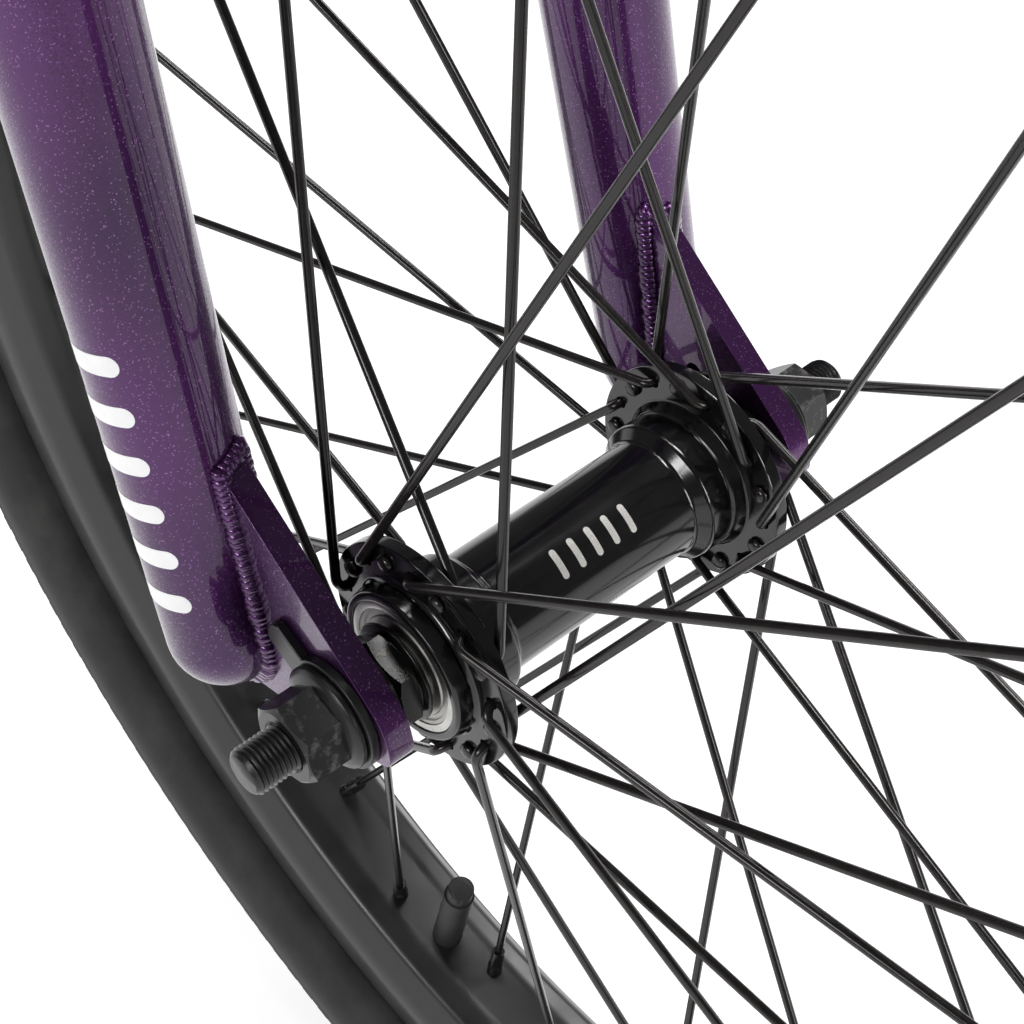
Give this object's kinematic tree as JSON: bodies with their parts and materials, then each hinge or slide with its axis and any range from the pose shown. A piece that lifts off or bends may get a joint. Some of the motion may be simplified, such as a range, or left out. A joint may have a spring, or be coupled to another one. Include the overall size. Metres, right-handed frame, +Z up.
{
  "type": "bmx bike",
  "caption": "Small-wheeled freestyle bicycle with a low frame, high braced handlebar, straight-leg fork, bolt-on axles, platform pedals and a small pivoting seat.",
  "frame": {"origin": "on the ground, midway between the axles, in the bike's middle plane", "axes": "+X forward, +Y to the rider's left, +Z up"},
  "size_m": [1.4432, 0.7382, 0.9331],
  "materials": {
    "purple_paint": "gloss candy with fine metallic flake",
    "black_alloy": "polished black anodised",
    "rim_alloy": "satin black anodised",
    "black_spoke_steel": "semi-gloss black",
    "black_oxide_steel": "black oxide",
    "bearing_steel": "ground steel",
    "black_paint": "gloss black",
    "driver_steel": "satin nickel",
    "chain_steel": "dark oiled steel",
    "tyre_rubber": "matte black",
    "soft_rubber": "matte black",
    "black_plastic": "moulded, fine texture",
    "seat_fabric": "woven black"
  },
  "bodies": {
    "frame": {"head_tube": "purple_paint", "top_tube": "purple_paint", "down_tube": "purple_paint", "seat_tube": "purple_paint", "bottom_bracket_shell": "purple_paint", "chainstays": "purple_paint", "seatstays": "purple_paint", "rear_dropouts": "purple_paint", "headset_bearings": "bearing_steel", "seat_clamp": "black_alloy", "seat_clamp_bolt": "black_oxide_steel", "bottom_bracket_bearings": "bearing_steel", "rear_axle": "black_oxide_steel", "rear_axle_spacers": "black_spoke_steel", "rear_axle_nuts": "black_oxide_steel", "chain_outer_links": "chain_steel", "chain_inner_links": "chain_steel"},
    "fork": {"fork_steerer": "purple_paint", "fork_legs": "purple_paint", "fork_dropouts": "purple_paint", "headset_rings": "bearing_steel", "headset_covers": "black_alloy", "stem_body": "black_alloy", "stem_face_plate": "black_alloy", "stem_bolts": "black_oxide_steel", "front_axle": "black_oxide_steel", "front_cones": "black_spoke_steel", "front_axle_nuts": "black_oxide_steel", "front_safety_washers": "black_oxide_steel"},
    "bars": {"handlebar": "black_paint", "handlebar_crossbar": "black_paint", "handlebar_grips": "soft_rubber", "bar_end_plugs": "black_plastic"},
    "front_wheel": {"front_hub_shell": "black_alloy", "front_hub_bearings": "bearing_steel", "front_spokes": "black_spoke_steel", "front_spoke_nipples": "black_spoke_steel", "front_rim": "rim_alloy", "front_inner_tube": "soft_rubber", "front_tyre": "tyre_rubber"},
    "rear_wheel": {"rear_hub_shell": "black_alloy", "rear_hub_bearings": "bearing_steel", "rear_spokes": "black_spoke_steel", "rear_spoke_nipples": "black_spoke_steel", "rear_rim": "rim_alloy", "rear_inner_tube": "soft_rubber", "rear_tyre": "tyre_rubber"},
    "driver": {"rear_driver": "driver_steel", "driver_pawls": "bearing_steel"},
    "crank": {"crank_spindle": "black_paint", "crank_arms": "black_paint", "chain_sprocket": "black_alloy", "crank_bolts": "black_oxide_steel", "pedal_axles": "bearing_steel"},
    "pedal_right": {"right_pedal": "black_plastic"},
    "pedal_left": {"left_pedal": "black_plastic"},
    "post": {"seat_post": "black_paint"},
    "seat": {"seat_base": "black_plastic", "seat_cover": "seat_fabric", "seat_bolt": "black_oxide_steel"}
  },
  "joints": [
    {"name": "steering", "type": "hinge", "parent": "frame", "child": "fork", "pos_m": [0.35335, 0, 0.55675], "axis": [-0.2588, 0, 0.9659], "continuous": true},
    {"name": "bar_roll", "type": "hinge", "parent": "fork", "child": "bars", "pos_m": [0.3649, 0, 0.70685], "axis": [0, 1, 0], "range_deg": [-15, 15]},
    {"name": "front_wheel_spin", "type": "hinge", "parent": "fork", "child": "front_wheel", "pos_m": [0.4676, 0, 0.254], "axis": [0, 1, 0], "continuous": true},
    {"name": "rear_wheel_spin", "type": "hinge", "parent": "frame", "child": "rear_wheel", "pos_m": [-0.4676, 0, 0.254], "axis": [0, 1, 0], "continuous": true},
    {"name": "crank_spin", "type": "hinge", "parent": "frame", "child": "crank", "pos_m": [-0.12238, 0, 0.292], "axis": [0, 1, 0], "continuous": true, "deforming": ["chain_outer_links", "chain_inner_links"]},
    {"name": "driver_spin", "type": "hinge", "parent": "frame", "child": "driver", "pos_m": [-0.4676, 0, 0.254], "axis": [0, 1, 0], "continuous": true},
    {"name": "pedal_right_spin", "type": "hinge", "parent": "crank", "child": "pedal_right", "pos_m": [0.05262, -0.075, 0.292], "axis": [0, 1, 0], "continuous": true},
    {"name": "pedal_left_spin", "type": "hinge", "parent": "crank", "child": "pedal_left", "pos_m": [-0.29738, 0.075, 0.292], "axis": [0, 1, 0], "continuous": true},
    {"name": "seat_height", "type": "slide", "parent": "frame", "child": "post", "axis": [-0.3256, 0, 0.9455], "range_m": [-0.015, 0.05]},
    {"name": "seat_tilt", "type": "hinge", "parent": "post", "child": "seat", "pos_m": [-0.21777, 0, 0.56904], "axis": [0, 1, 0], "range_deg": [-10, 10]}
  ],
  "couplings": [
    {"joint": "driver_spin", "follows": "crank_spin", "ratio": 2.8}
  ]
}
